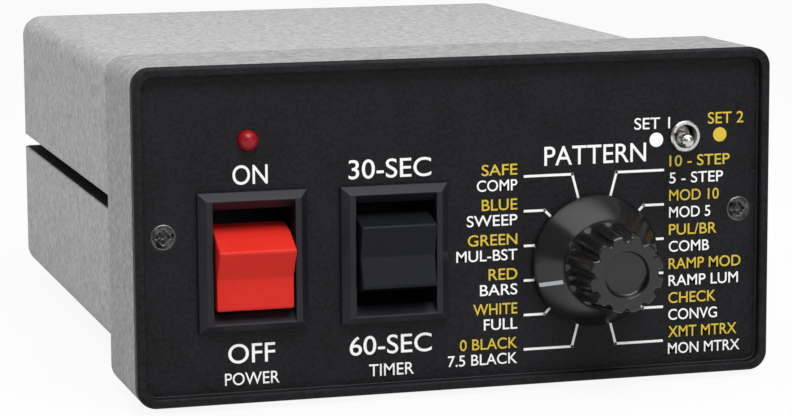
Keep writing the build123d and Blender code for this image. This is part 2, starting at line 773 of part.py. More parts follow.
def build():
    os.makedirs("parts", exist_ok=True)
    shell = case_shell()
    save("top_cover", top_cover(shell))
    save("bottom_case", bottom_case(shell))
    save("case_screws", case_screws())
    save("rubber_feet", rubber_feet())
    save("front_collar", front_collar())
    save("front_panel", front_panel())
    save("panel_screws", panel_screws())
    save("power_switch_body", switch_body(power_x))
    save("timer_switch_body", switch_body(timer_x))
    save("power_switch_blades", switch_blades(power_x))
    save("timer_switch_blades", switch_blades(timer_x))
    save("power_rocker", rocker(power_x, rocker_tilt))
    save("timer_rocker", rocker(timer_x, 0))
    save("rocker_pins", pivot_pins())
    save("selector_knob", selector_knob())
    save("knob_set_screw", knob_set_screw())
    save("selector_shaft", selector_shaft())
    save("selector_bushing", selector_bushing())
    save("selector_body", selector_body())
    save("selector_tags", selector_tags())
    save("selector_nut", selector_nut())
    save("selector_washer", selector_washer())
    save("toggle_bushing", toggle_bushing())
    save("toggle_body", toggle_body())
    save("toggle_nut", toggle_nut())
    save("toggle_lever", toggle_lever())
    save("led_lamp", led_lamp())
    save("led_holder", led_holder())
    save("rear_panel", rear_panel())
    save("video_barrels", video_barrels())
    save("video_nuts", video_nuts())
    save("video_insulators", video_insulators())
    save("video_contacts", video_contacts())
    save("power_jack", power_jack())
    save("power_jack_nut", power_jack_nut())
    save("power_jack_pin", power_jack_pin())
    save("circuit_board", circuit_board())
    save("board_screws", board_screws())
    save("logic_chips", logic_chips())
    save("memory_chip", memory_chip())
    save("crystal_can", crystal_can())
    save("smoothing_capacitors", smoothing_capacitors())
    save("voltage_regulator", voltage_regulator())


build()
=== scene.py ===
# %% [markdown]
# A compact bench signal generator, dressed for its picture.
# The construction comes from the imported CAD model, which is loaded as a fixed frame.
# This lesson adds what the frame lacks: surface finishes, the printed legends of the
# control panel, a finely rounded knob, and the studio around it. Lengths are in metres.

# %% Load the frame
import bpy
import bmesh
import math
from mathutils import Matrix, Vector


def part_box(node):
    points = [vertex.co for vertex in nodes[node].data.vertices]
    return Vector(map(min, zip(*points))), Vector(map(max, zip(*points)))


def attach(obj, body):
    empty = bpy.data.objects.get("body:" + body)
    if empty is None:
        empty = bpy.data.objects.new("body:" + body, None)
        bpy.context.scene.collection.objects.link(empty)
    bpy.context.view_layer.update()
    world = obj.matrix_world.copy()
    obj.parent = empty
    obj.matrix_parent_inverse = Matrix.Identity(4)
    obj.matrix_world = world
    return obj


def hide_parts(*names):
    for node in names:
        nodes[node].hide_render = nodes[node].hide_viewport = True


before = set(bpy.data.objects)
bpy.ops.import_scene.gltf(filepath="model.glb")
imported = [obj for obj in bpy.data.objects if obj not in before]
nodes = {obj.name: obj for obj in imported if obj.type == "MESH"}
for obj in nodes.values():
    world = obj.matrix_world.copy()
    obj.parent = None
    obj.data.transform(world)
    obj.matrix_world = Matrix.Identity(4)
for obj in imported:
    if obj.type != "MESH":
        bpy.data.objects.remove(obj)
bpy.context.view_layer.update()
MM = 0.001
panel_low, panel_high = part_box("front_panel")
rim_front = panel_low[1]
rim_bottom = panel_low[2]
RECESS = 2.0 * MM
panel_face = rim_front + RECESS
rim_width = round((panel_high[0] - panel_low[0]) / MM, 1)
print("frame loaded:", len(nodes), "CAD nodes; the rim is", rim_width, "mm wide")


# %% [markdown]
# Every finish here is moulded, plated or printed, so the materials share two effects.
# The first is grain: the fine pebble that a textured mould leaves on plastic, which shifts
# the colour a little and catches light as small bumps. The second is the soft edge: real
# corners are never sharp, so the Bevel node rounds the shading of every CAD edge.
# Both are node groups with named sockets, so each material only states its own values.

# %% Helpers for node trees
def link(tree, start, end):
    tree.links.new(start, end)


def add_node(tree, kind, **values):
    node = tree.nodes.new(kind)
    for name, value in values.items():
        if name in node.inputs:
            node.inputs[name].default_value = value
        else:
            setattr(node, name, value)
    return node


def new_group(name, inputs, outputs):
    tree = bpy.data.node_groups.new(name, "ShaderNodeTree")
    for label, default in inputs:
        socket = tree.interface.new_socket(name=label, in_out="INPUT", socket_type="NodeSocketFloat")
        socket.default_value = default
    for label, kind in outputs:
        tree.interface.new_socket(name=label, in_out="OUTPUT", socket_type=kind)
    return tree, tree.nodes.new("NodeGroupInput"), tree.nodes.new("NodeGroupOutput")


# %% The grain group
def make_grain():
    tree, given, result = new_group(
        "moulded_grain", [("Pitch", 1500.0), ("Mottle", 120.0)],
        [("Speck", "NodeSocketFloat"), ("Cloud", "NodeSocketFloat"), ("Height", "NodeSocketFloat")])
    place = add_node(tree, "ShaderNodeTexCoord")
    fine = add_node(tree, "ShaderNodeTexNoise", Detail=3.0, Roughness=0.65)
    cells = add_node(tree, "ShaderNodeTexVoronoi")
    broad = add_node(tree, "ShaderNodeTexNoise", Detail=4.0, Roughness=0.6)
    for texture, pitch in ((fine, "Pitch"), (cells, "Pitch"), (broad, "Mottle")):
        link(tree, place.outputs["Object"], texture.inputs["Vector"])
        link(tree, given.outputs[pitch], texture.inputs["Scale"])
    height = add_node(tree, "ShaderNodeMath", operation="ADD")
    link(tree, fine.outputs["Fac"], height.inputs[0])
    link(tree, cells.outputs["Distance"], height.inputs[1])
    link(tree, fine.outputs["Fac"], result.inputs["Speck"])
    link(tree, broad.outputs["Fac"], result.inputs["Cloud"])
    link(tree, height.outputs[0], result.inputs["Height"])
    return tree


grain = make_grain()


# %% The soft edge group
def make_soft_edge():
    tree, given, result = new_group(
        "soft_edge", [("Radius", 0.0003), ("Height", 0.0), ("Strength", 0.2), ("Depth", 0.0001)],
        [("Normal", "NodeSocketVector"), ("Edge", "NodeSocketFloat")])
    rounded = add_node(tree, "ShaderNodeBevel", samples=6)
    link(tree, given.outputs["Radius"], rounded.inputs["Radius"])
    bump = add_node(tree, "ShaderNodeBump")
    link(tree, given.outputs["Strength"], bump.inputs["Strength"])
    link(tree, given.outputs["Depth"], bump.inputs["Distance"])
    link(tree, given.outputs["Height"], bump.inputs["Height"])
    link(tree, rounded.outputs["Normal"], bump.inputs["Normal"])
    flat = add_node(tree, "ShaderNodeNewGeometry")
    agree = add_node(tree, "ShaderNodeVectorMath", operation="DOT_PRODUCT")
    link(tree, rounded.outputs["Normal"], agree.inputs[0])
    link(tree, flat.outputs["Normal"], agree.inputs[1])
    edge = add_node(tree, "ShaderNodeMapRange")
    edge.inputs["From Min"].default_value = 0.995
    edge.inputs["From Max"].default_value = 0.8
    link(tree, agree.outputs["Value"], edge.inputs["Value"])
    link(tree, bump.outputs["Normal"], result.inputs["Normal"])
    link(tree, edge.outputs["Result"], result.inputs["Edge"])
    return tree


soft_edge = make_soft_edge()
print("shared effects:", grain.name, "and", soft_edge.name)


# %% [markdown]
# One function turns a short list of values into a finished material. The colour runs from a dark to a light tone
# with the grain, rounded edges drift towards a third tone that is partly rubbed wear and partly a painted highlight
# where edges catch light, and the roughness follows the cloudiness of the surface, as handling and moulding leave
# it.

# %% The finish function
def finish(name, dark, light, edge, rough, metal=0.0, pitch=1500.0, mottle=120.0, bump=0.2,
           depth=0.00006, radius=0.0003, speck_range=(0.3, 0.7), coat=0.0, specular=0.5, edge_wear_and_highlight=0.5):
    material = bpy.data.materials.new(name)
    material.use_nodes = True
    tree = material.node_tree
    shader = tree.nodes["Principled BSDF"]
    shader.inputs["Metallic"].default_value = metal
    shader.inputs["Coat Weight"].default_value = coat
    shader.inputs["Coat Roughness"].default_value = 0.12
    shader.inputs["Specular IOR Level"].default_value = specular
    texture = add_node(tree, "ShaderNodeGroup", node_tree=grain)
    texture.inputs["Pitch"].default_value = pitch
    texture.inputs["Mottle"].default_value = mottle
    corner = add_node(tree, "ShaderNodeGroup", node_tree=soft_edge)
    corner.inputs["Radius"].default_value = radius
    corner.inputs["Strength"].default_value = bump
    corner.inputs["Depth"].default_value = depth
    link(tree, texture.outputs["Height"], corner.inputs["Height"])
    tone = add_node(tree, "ShaderNodeValToRGB")
    tone.color_ramp.elements[0].position, tone.color_ramp.elements[1].position = speck_range
    tone.color_ramp.elements[0].color = (*dark, 1)
    tone.color_ramp.elements[1].color = (*light, 1)
    blend = add_node(tree, "ShaderNodeMath", operation="MULTIPLY_ADD")
    blend.inputs[1].default_value = 0.35
    link(tree, texture.outputs["Cloud"], blend.inputs[0])
    part = add_node(tree, "ShaderNodeMath", operation="MULTIPLY")
    part.inputs[1].default_value = 0.65
    link(tree, texture.outputs["Speck"], part.inputs[0])
    link(tree, part.outputs[0], blend.inputs[2])
    link(tree, blend.outputs[0], tone.inputs["Fac"])
    # Rounded edges take the third tone: partly rubbed wear, partly a painted highlight where the edges catch light.
    edge_wear_and_highlight_mix = add_node(tree, "ShaderNodeMix", data_type="RGBA")
    edge_wear_and_highlight_mix.inputs[7].default_value = (*edge, 1)
    amount = add_node(tree, "ShaderNodeMath", operation="MULTIPLY")
    amount.inputs[1].default_value = edge_wear_and_highlight
    link(tree, corner.outputs["Edge"], amount.inputs[0])
    link(tree, amount.outputs[0], edge_wear_and_highlight_mix.inputs[0])
    link(tree, tone.outputs["Color"], edge_wear_and_highlight_mix.inputs[6])
    link(tree, edge_wear_and_highlight_mix.outputs[2], shader.inputs["Base Color"])
    sheen = add_node(tree, "ShaderNodeMapRange")
    sheen.inputs["To Min"].default_value = rough[0]
    sheen.inputs["To Max"].default_value = rough[1]
    link(tree, texture.outputs["Cloud"], sheen.inputs["Value"])
    link(tree, sheen.outputs["Result"], shader.inputs["Roughness"])
    link(tree, corner.outputs["Normal"], shader.inputs["Normal"])
    return material


# %% [markdown]
# The finishes, from the outside in. The case is grey moulded plastic with a fine speckle.
# The panel is black with a leathery pebble, the switch frames are satin nylon with a blue
# cast, and the rocker is glossy red. Small hardware is nickel, brass, steel or aluminium.

# %% The palette
def grey(value, warm=0.0):
    return (value + warm, value + warm * 0.4, value)


# The third colour of each finish is its edge tone: partly wear, partly a painted highlight on rounded edges.
case_grey = finish("case_grey", grey(0.2), grey(0.5), grey(0.42), (0.5, 0.75), pitch=900.0, bump=0.4,
                   depth=0.00016, speck_range=(0.3, 0.68), mottle=420.0, radius=0.0004, edge_wear_and_highlight=0.1,
                   specular=0.3)
collar_grey = finish("collar_grey", grey(0.15), grey(0.4), grey(0.36), (0.5, 0.75), pitch=900.0, bump=0.4,
                     depth=0.00016, speck_range=(0.3, 0.68), mottle=420.0, radius=0.0004, edge_wear_and_highlight=0.1,
                     specular=0.3)
panel_black = finish("panel_black", (0.0015, 0.0015, 0.0019), (0.0155, 0.0155, 0.0185), grey(0.085),
                     (0.42, 0.66), pitch=1300.0, bump=0.5, depth=0.00016, radius=0.0004, edge_wear_and_highlight=0.6, specular=0.14)
frame_nylon = finish("frame_nylon", (0.0055, 0.005, 0.0075), (0.0125, 0.0115, 0.0165), (0.03, 0.032, 0.042),
                     (0.3, 0.5), pitch=2200.0, bump=0.1, radius=0.0003, edge_wear_and_highlight=0.4, specular=0.3)
rocker_black = finish("rocker_black", (0.0065, 0.007, 0.008), (0.0125, 0.0135, 0.016), grey(0.07),
                      (0.3, 0.44), pitch=2400.0, bump=0.08, radius=0.0004, edge_wear_and_highlight=0.7, specular=0.1)
knob_black = finish("knob_black", (0.003, 0.003, 0.0036), (0.009, 0.009, 0.0105), grey(0.05), (0.13, 0.26),
                    pitch=2600.0, bump=0.1, radius=0.0002, edge_wear_and_highlight=0.4, specular=0.55)
rocker_red = finish("rocker_red", (0.55, 0.017, 0.011), (0.63, 0.027, 0.018), (0.9, 0.12, 0.08), (0.28, 0.42),
                    pitch=2000.0, bump=0.08, radius=0.0005, edge_wear_and_highlight=0.4, specular=0.12)
body_red = finish("body_red", (0.24, 0.012, 0.012), (0.34, 0.02, 0.02), (0.4, 0.05, 0.05), (0.5, 0.65),
                  bump=0.15)
lens_red = finish("lens_red", (0.21, 0.002, 0.006), (0.32, 0.005, 0.012), (0.4, 0.02, 0.02), (0.22, 0.34),
                  bump=0.03, specular=0.3)
nickel = finish("nickel", grey(0.5, 0.02), grey(0.66, 0.02), grey(0.75), (0.16, 0.3), metal=1.0, pitch=900.0,
                bump=0.05, radius=0.00015)
steel = finish("steel", grey(0.38), grey(0.5), grey(0.62), (0.25, 0.42), metal=1.0, bump=0.1, radius=0.00012)
screw_steel = finish("screw_steel", grey(0.004), grey(0.12), grey(0.4), (0.3, 0.5), metal=0.8, pitch=800.0,
                     bump=0.4, depth=0.00012, radius=0.0003, speck_range=(0.44, 0.66), edge_wear_and_highlight=0.8, specular=0.2)
brass = finish("brass", (0.5, 0.34, 0.12), (0.66, 0.47, 0.18), (0.75, 0.58, 0.3), (0.25, 0.4), metal=1.0,
               bump=0.08, radius=0.0001)
aluminium = finish("aluminium", grey(0.55), grey(0.66), grey(0.72), (0.28, 0.4), metal=1.0, bump=0.1)
insulator = finish("insulator", grey(0.66), grey(0.76), grey(0.8), (0.4, 0.5), bump=0.05)
foot_rubber = finish("foot_rubber", grey(0.008), grey(0.018), grey(0.04), (0.7, 0.9), bump=0.4, depth=0.0002)
board_green = finish("board_green", (0.006, 0.07, 0.03), (0.012, 0.13, 0.05), (0.1, 0.2, 0.1), (0.3, 0.45),
                     pitch=500.0, bump=0.1)
sleeve_blue = finish("sleeve_blue", (0.006, 0.012, 0.06), (0.012, 0.025, 0.1), (0.05, 0.07, 0.2), (0.25, 0.4),
                     bump=0.08)
print("materials made:", len(bpy.data.materials))

# %% [markdown]
# Where the two case halves meet lies a deep groove, and its shade is painted: behind the outer wall and near the
# seam, the case's colour switches to near-black. The switch compares Object coordinates with the case's own sizes.

# %% Painted shade inside the groove
def paint_groove_shade(material, half_width, low, high):
    tree = material.node_tree
    shader = tree.nodes["Principled BSDF"]
    finish_colour = shader.inputs["Base Color"].links[0].from_socket
    place = add_node(tree, "ShaderNodeTexCoord")
    parts = add_node(tree, "ShaderNodeSeparateXYZ")
    link(tree, place.outputs["Object"], parts.inputs[0])
    across = add_node(tree, "ShaderNodeMath", operation="ABSOLUTE")
    link(tree, parts.outputs["X"], across.inputs[0])
    inner = add_node(tree, "ShaderNodeMath", operation="LESS_THAN")
    inner.inputs[1].default_value = half_width
    link(tree, across.outputs[0], inner.inputs[0])
    above_low = add_node(tree, "ShaderNodeMath", operation="GREATER_THAN")
    above_low.inputs[1].default_value = low
    below_high = add_node(tree, "ShaderNodeMath", operation="LESS_THAN")
    below_high.inputs[1].default_value = high
    link(tree, parts.outputs["Z"], above_low.inputs[0])
    link(tree, parts.outputs["Z"], below_high.inputs[0])
    band = add_node(tree, "ShaderNodeMath", operation="MULTIPLY")
    link(tree, above_low.outputs[0], band.inputs[0])
    link(tree, below_high.outputs[0], band.inputs[1])
    mask = add_node(tree, "ShaderNodeMath", operation="MULTIPLY")
    link(tree, band.outputs[0], mask.inputs[0])
    link(tree, inner.outputs[0], mask.inputs[1])
    groove_shade_mix = add_node(tree, "ShaderNodeMix", data_type="RGBA")
    # Painted shade: this near-black colour stands in for the shade deep inside the groove and the case.
    groove_shade_mix.inputs[7].default_value = (0.012, 0.012, 0.013, 1)
    link(tree, mask.outputs[0], groove_shade_mix.inputs[0])
    link(tree, finish_colour, groove_shade_mix.inputs[6])
    link(tree, groove_shade_mix.outputs[2], shader.inputs["Base Color"])


SHADE_INSET = 0.5 * MM
GROOVE_BAND = 4.0 * MM
case_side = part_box("top_cover")[1][0]
seam = (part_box("top_cover")[0][2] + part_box("bottom_case")[1][2]) / 2
paint_groove_shade(case_grey, case_side - SHADE_INSET, seam - GROOVE_BAND, seam + GROOVE_BAND)
print("groove band around z =", round(seam / MM, 1), "mm")

# %% Give each CAD node its finish
FINISHES = {
    case_grey: ["top_cover", "bottom_case"],
    collar_grey: ["front_collar"],
    panel_black: ["front_panel", "rear_panel"],
    frame_nylon: ["power_switch_body", "timer_switch_body", "selector_body", "led_holder", "power_jack",
                  "logic_chips", "memory_chip", "voltage_regulator"],
    rocker_black: ["timer_rocker"],
    knob_black: ["selector_knob"],
    rocker_red: ["power_rocker"],
    body_red: ["toggle_body"],
    lens_red: ["led_lamp"],
    nickel: ["toggle_bushing", "toggle_lever", "toggle_nut", "selector_nut", "selector_washer",
             "video_barrels", "video_nuts", "power_jack_nut", "power_jack_pin", "crystal_can"],
    steel: ["case_screws", "rocker_pins", "knob_set_screw", "board_screws"],
    screw_steel: ["panel_screws", "power_switch_blades", "timer_switch_blades"],
    brass: ["selector_tags", "selector_bushing", "video_contacts"],
    aluminium: ["selector_shaft"],
    insulator: ["video_insulators"],
    foot_rubber: ["rubber_feet"],
    board_green: ["circuit_board"],
    sleeve_blue: ["smoothing_capacitors"],
}
for material, names in FINISHES.items():
    for name in names:
        piece = nodes[name]
        piece.data.materials.clear()
        piece.data.materials.append(material)
print("nodes finished:", sum(len(names) for names in FINISHES.values()), "of", len(nodes))


# %% [markdown]
# The legends are screen-printed: a thin, slightly raised film of ink, matt at this size.
# Text objects set the letters, and each is turned to a mesh, stretched to its printed
# width and height, and laid on the recessed face. Names and model numbers are left out.

# %% Inks
def ink(name, colour):
    thin = tuple(channel * 0.86 for channel in colour)
    return finish(name, thin, colour, colour, (0.45, 0.65), pitch=2600.0, bump=0.15, radius=0.00002, edge_wear_and_highlight=0.0)


ink_white = ink("ink_white", (0.93, 0.93, 0.92))
ink_yellow = ink("ink_yellow", (0.66, 0.48, 0.03))
ink_pointer = ink("ink_pointer", (0.62, 0.66, 0.72))
FILM = 0.05 * MM


def panel_point(x, height, lift=0.0):
    return Vector((x * MM, panel_face - lift, rim_bottom + height * MM))


def to_piece(name, mesh, material, body):
    piece = bpy.data.objects.new(name, mesh)
    bpy.context.scene.collection.objects.link(piece)
    mesh.materials.clear()
    mesh.materials.append(material)
    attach(piece, body)
    return piece


# %% Letters
LARGE_WEIGHT = 0.004
SMALL_WEIGHT = 0.006


def letter_mesh(words, weight):
    curve = bpy.data.curves.new("letters", "FONT")
    curve.body = words
    curve.size = 1.0
    curve.offset = weight
    curve.extrude = 0.01
    carrier = bpy.data.objects.new("letters", curve)
    bpy.context.scene.collection.objects.link(carrier)
    bpy.context.view_layer.update()
    mesh = bpy.data.meshes.new_from_object(carrier.evaluated_get(bpy.context.evaluated_depsgraph_get()))
    bpy.data.objects.remove(carrier)
    bpy.data.curves.remove(curve)
    return mesh


def legend(name, words, x, middle, width, cap, material, anchor=0.5, weight=LARGE_WEIGHT):
    """Prints words on the panel: x is the anchor's place, middle the centre height, in millimetres."""
    mesh = letter_mesh(words, weight)
    low_x = min(v.co.x for v in mesh.vertices)
    high_x = max(v.co.x for v in mesh.vertices)
    low_y = min(v.co.y for v in mesh.vertices)
    high_y = max(v.co.y for v in mesh.vertices)
    scale_y = cap / (high_y - low_y)
    scale_x = width / (high_x - low_x)
    for v in mesh.vertices:
        across = (v.co.x - low_x) * scale_x + x - anchor * width
        along = (v.co.y - (low_y + high_y) / 2) * scale_y + middle
        v.co = panel_point(across, along, FILM if v.co.z > 0 else 0.0)
    return to_piece(name, mesh, material, "root")


# %% Switch and title legends
LEGENDS = [
    ("legend_on", "ON", -42.1, 44.6, 6.95, 3.8, ink_white),
    ("legend_off", "OFF", -42.25, 9.6, 9.35, 3.85, ink_white),
    ("legend_power", "POWER", -42.2, 4.6, 10.9, 2.45, ink_white),
    ("legend_30_sec", "30-SEC", -14.05, 44.65, 16.8, 3.8, ink_white),
    ("legend_60_sec", "60-SEC", -14.1, 9.65, 16.8, 3.8, ink_white),
    ("legend_timer", "TIMER", -14.0, 4.6, 9.2, 2.4, ink_white),
    ("legend_pattern", "PATTERN", 28.55, 45.6, 21.5, 3.8, ink_white),
    ("legend_set_1", "SET 1", 40.6, 51.3, 7.6, 2.35, ink_white),
    ("legend_set_2", "SET 2", 56.4, 51.9, 7.7, 2.35, ink_yellow),
]
for name, words, x, middle, width, cap, material in LEGENDS:
    legend(name, words, x, middle, width, cap, material)
print("control legends:", len(LEGENDS))

# %% [markdown]
# Each of the selector's twelve positions has two names, one for each setting of the toggle:
# yellow above its line, white below. The rows share one pitch, so they are laid out by rows.

# %% Pattern legends
ROW_TOP = 41.77
ROW_PITCH = 6.98
LEFT_EDGE = 12.15
RIGHT_EDGE = 44.35
LEFT_SHIFTS = (1.55, -1.55)
RIGHT_SHIFTS = (1.75, -1.7)
SMALL_CAP = 2.25
LEFT_ROWS = [("SAFE", 7.4, "COMP", 8.4), ("BLUE", 7.4, "SWEEP", 10.5), ("GREEN", 10.3, "MUL-BST", 12.7),
             ("RED", 6.0, "BARS", 7.8), ("WHITE", 9.2, "FULL", 7.0), ("0 BLACK", 12.0, "7.5 BLACK", 14.5)]
RIGHT_ROWS = [("10 - STEP", 13.0, "5 - STEP", 11.6), ("MOD 10", 10.7, "MOD 5", 8.9),
              ("PUL/BR", 10.3, "COMB", 8.7), ("RAMP MOD", 15.6, "RAMP LUM", 15.1), ("CHECK", 10.3, "CONVG", 10.6),
              ("XMT MTRX", 14.9, "MON MTRX", 15.6)]


def row_height(row):
    return ROW_TOP - row * ROW_PITCH


SIDES = (("left", LEFT_ROWS, LEFT_EDGE, 1.0, LEFT_SHIFTS),
         ("right", RIGHT_ROWS, RIGHT_EDGE, 0.0, RIGHT_SHIFTS))
for side, rows, edge, anchor, (above, below) in SIDES:
    for row, (first, first_width, second, second_width) in enumerate(rows):
        legend(f"legend_{side}_{row + 1}_a", first, edge, row_height(row) + above, first_width, SMALL_CAP,
               ink_yellow, anchor, SMALL_WEIGHT)
        legend(f"legend_{side}_{row + 1}_b", second, edge, row_height(row) + below, second_width, SMALL_CAP,
               ink_white, anchor, SMALL_WEIGHT)
print("pattern legends:", 2 * (len(LEFT_ROWS) + len(RIGHT_ROWS)))

# %% [markdown]
# A leader line runs from each pair of names to its place around the knob. The six lines on
# one side are a rule, not a drawing: a level stretch at the row's height, then a bend that
# follows the detent's direction towards the knob. Geometry Nodes lay flat bars of ink
# between named points: a mesh line gives the rows, and a bar is set on each.

# %% Leader lines
LINE_WIDTH = 0.5
KNOB_X = (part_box("selector_shaft")[0][0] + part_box("selector_shaft")[1][0]) / 2 / MM
KNOB_Z = ((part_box("selector_shaft")[0][2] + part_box("selector_shaft")[1][2]) / 2 - rim_bottom) / MM
LINE_REACH = 14.6
LINE_KEEP = 12.6
TICK = 2.6
SHORT_ROWS = (2, 3)
FIRST_TURN = 15
DETENT = 30


def bar_tree():
    tree = bpy.data.node_groups.new("ink_bars", "GeometryNodeTree")
    tree.interface.new_socket(name="Geometry", in_out="INPUT", socket_type="NodeSocketGeometry")
    for label in ("Width", "Film"):
        tree.interface.new_socket(name=label, in_out="INPUT", socket_type="NodeSocketFloat")
    tree.interface.new_socket(name="Ink", in_out="INPUT", socket_type="NodeSocketMaterial")
    tree.interface.new_socket(name="Geometry", in_out="OUTPUT", socket_type="NodeSocketGeometry")
    given, result = tree.nodes.new("NodeGroupInput"), tree.nodes.new("NodeGroupOutput")
    ends = add_node(tree, "GeometryNodeInputMeshEdgeVertices")
    run = add_node(tree, "ShaderNodeVectorMath", operation="SUBTRACT")
    link(tree, ends.outputs["Position 2"], run.inputs[0])
    link(tree, ends.outputs["Position 1"], run.inputs[1])
    length = add_node(tree, "ShaderNodeVectorMath", operation="LENGTH")
    link(tree, run.outputs["Vector"], length.inputs[0])
    points = add_node(tree, "GeometryNodeMeshToPoints", mode="EDGES")
    link(tree, given.outputs["Geometry"], points.inputs["Mesh"])
    turn = add_node(tree, "FunctionNodeAlignRotationToVector", axis="X")
    link(tree, run.outputs["Vector"], turn.inputs["Vector"])
    store_turn = add_node(tree, "GeometryNodeStoreNamedAttribute", data_type="QUATERNION", domain="EDGE")
    store_turn.inputs["Name"].default_value = "turn"
    store_size = add_node(tree, "GeometryNodeStoreNamedAttribute", data_type="FLOAT_VECTOR", domain="EDGE")
    store_size.inputs["Name"].default_value = "size"
    size = add_node(tree, "ShaderNodeCombineXYZ")
    overlap = add_node(tree, "ShaderNodeMath", operation="ADD")
    link(tree, length.outputs["Value"], overlap.inputs[0])
    link(tree, given.outputs["Width"], overlap.inputs[1])
    link(tree, overlap.outputs[0], size.inputs["X"])
    link(tree, given.outputs["Film"], size.inputs["Y"])
    link(tree, given.outputs["Width"], size.inputs["Z"])
    link(tree, given.outputs["Geometry"], store_turn.inputs["Geometry"])
    link(tree, turn.outputs["Rotation"], store_turn.inputs["Value"])
    link(tree, store_turn.outputs["Geometry"], store_size.inputs["Geometry"])
    link(tree, size.outputs["Vector"], store_size.inputs["Value"])
    link(tree, store_size.outputs["Geometry"], points.inputs["Mesh"])
    bar = add_node(tree, "GeometryNodeMeshCube")
    place = add_node(tree, "GeometryNodeInstanceOnPoints")
    read_turn = add_node(tree, "GeometryNodeInputNamedAttribute", data_type="QUATERNION")
    read_turn.inputs["Name"].default_value = "turn"
    read_size = add_node(tree, "GeometryNodeInputNamedAttribute", data_type="FLOAT_VECTOR")
    read_size.inputs["Name"].default_value = "size"
    link(tree, points.outputs["Points"], place.inputs["Points"])
    link(tree, bar.outputs["Mesh"], place.inputs["Instance"])
    link(tree, read_turn.outputs["Attribute"], place.inputs["Rotation"])
    link(tree, read_size.outputs["Attribute"], place.inputs["Scale"])
    real = add_node(tree, "GeometryNodeRealizeInstances")
    coat = add_node(tree, "GeometryNodeSetMaterial")
    link(tree, place.outputs["Instances"], real.inputs["Geometry"])
    link(tree, real.outputs["Geometry"], coat.inputs["Geometry"])
    link(tree, given.outputs["Ink"], coat.inputs["Material"])
    link(tree, coat.outputs["Geometry"], result.inputs["Geometry"])
    return tree


def run_tree(name, base, tree, values):
    """Runs a Geometry Nodes tree on a mesh and returns the result as a plain mesh."""
    carrier = bpy.data.objects.new(name, base)
    bpy.context.scene.collection.objects.link(carrier)
    modifier = carrier.modifiers.new("build", "NODES")
    modifier.node_group = tree
    sockets = {item.name: item.identifier for item in tree.interface.items_tree if item.in_out == "INPUT"}
    for label, value in values.items():
        modifier[sockets[label]] = value
    bpy.context.view_layer.update()
    mesh = bpy.data.meshes.new_from_object(carrier.evaluated_get(bpy.context.evaluated_depsgraph_get()))
    bpy.data.objects.remove(carrier)
    return mesh


# %% The route of each leader line
def leader_points(side, row):
    """A level stretch from the legend, then the detent's own direction to the knob's edge."""
    height = row_height(row)
    outer = KNOB_X + side * LINE_REACH
    if row in SHORT_ROWS:
        return [(outer, height), (outer - side * TICK, height)]
    turn = math.radians(FIRST_TURN + row * DETENT) * side
    rise = height - KNOB_Z
    bend = KNOB_X + rise * math.tan(turn)
    near = LINE_KEEP / math.hypot(rise, bend - KNOB_X)
    return [(outer, height), (bend, height), (KNOB_X + (bend - KNOB_X) * near, KNOB_Z + rise * near)]


vertices, edges = [], []
for side in (-1, 1):
    for row in range(len(LEFT_ROWS)):
        route = leader_points(side, row)
        start = len(vertices)
        vertices += [panel_point(x, height) for x, height in route]
        edges += [(start + step, start + step + 1) for step in range(len(route) - 1)]
routes = bpy.data.meshes.new("leader_routes")
routes.from_pydata(vertices, edges, [])
bars = run_tree("leader_lines", routes, bar_tree(), {"Width": LINE_WIDTH * MM, "Film": 2 * FILM, "Ink": ink_white})
to_piece("leader_lines", bars, ink_white, "root")
print("leader lines:", len(edges), "bars,", len(bars.polygons), "faces")


# %% Set dots
def disc(name, x, height, radius, material, steps=48):
    build = bmesh.new()
    ring_low = [build.verts.new(panel_point(x + radius * math.sin(i * math.tau / steps),
                                            height + radius * math.cos(i * math.tau / steps))) for i in range(steps)]
    ring_high = [build.verts.new(v.co - Vector((0, FILM, 0))) for v in ring_low]
    build.faces.new(ring_high)
    build.faces.new(list(reversed(ring_low)))
    for i in range(steps):
        j = (i + 1) % steps
        build.faces.new((ring_low[i], ring_low[j], ring_high[j], ring_high[i]))
    bmesh.ops.recalc_face_normals(build, faces=build.faces)
    mesh = bpy.data.meshes.new(name)
    build.to_mesh(mesh)
    build.free()
    return to_piece(name, mesh, material, "root")


DOT_RADIUS = 1.45
disc("dot_set_1", 41.5, 47.95, DOT_RADIUS, ink_white)
disc("dot_set_2", 55.15, 48.5, DOT_RADIUS, ink_yellow)


# %% [markdown]
# The selector's knob is the piece a hand goes to: a moulded skirt with a steep cone and a
# fluted grip. A lathe profile and one repeating notch describe it fully, so Geometry Nodes
# turn the profile round the axis on a grid and press the flutes in with a cosine. A hand-made
# mesh would need every groove placed, while here their number and depth are two inputs.

# %% Knob profile
KNOB_BASE = 1.5
KNOB_EDGE = 0.6
KNOB_GRIP = -5.4
KNOB_TIP = (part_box("selector_knob")[0][1] - rim_front) / MM
SKIRT_RADIUS = (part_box("selector_knob")[1][0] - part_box("selector_knob")[0][0]) / 2 / MM
GRIP_BASE = 8.5
GRIP_TIP = 7.6
DISH_RADIUS = 4.6
DISH_DEPTH = 1.4
SHAFT_RADIUS = (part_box("selector_shaft")[1][0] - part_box("selector_shaft")[0][0]) / 2 / MM + 0.05
SHAFT_TOP = (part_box("selector_shaft")[0][1] - rim_front) / MM - 0.2
POCKET_RADIUS = 7.9
POCKET_TOP = -2.0


def corner_arc(before, corner, after, radius, steps=5):
    """Points of a smooth turn at a profile's corner, from one edge to the next."""
    corner = Vector(corner)
    start = corner + (Vector(before) - corner).normalized() * radius
    end = corner + (Vector(after) - corner).normalized() * radius
    turn = []
    for step in range(steps + 1):
        t = step / steps
        turn.append((1 - t) ** 2 * start + 2 * t * (1 - t) * corner + t ** 2 * end)
    return turn


def split_run(start, end, steps):
    return [Vector(start).lerp(Vector(end), step / steps) for step in range(1, steps)]


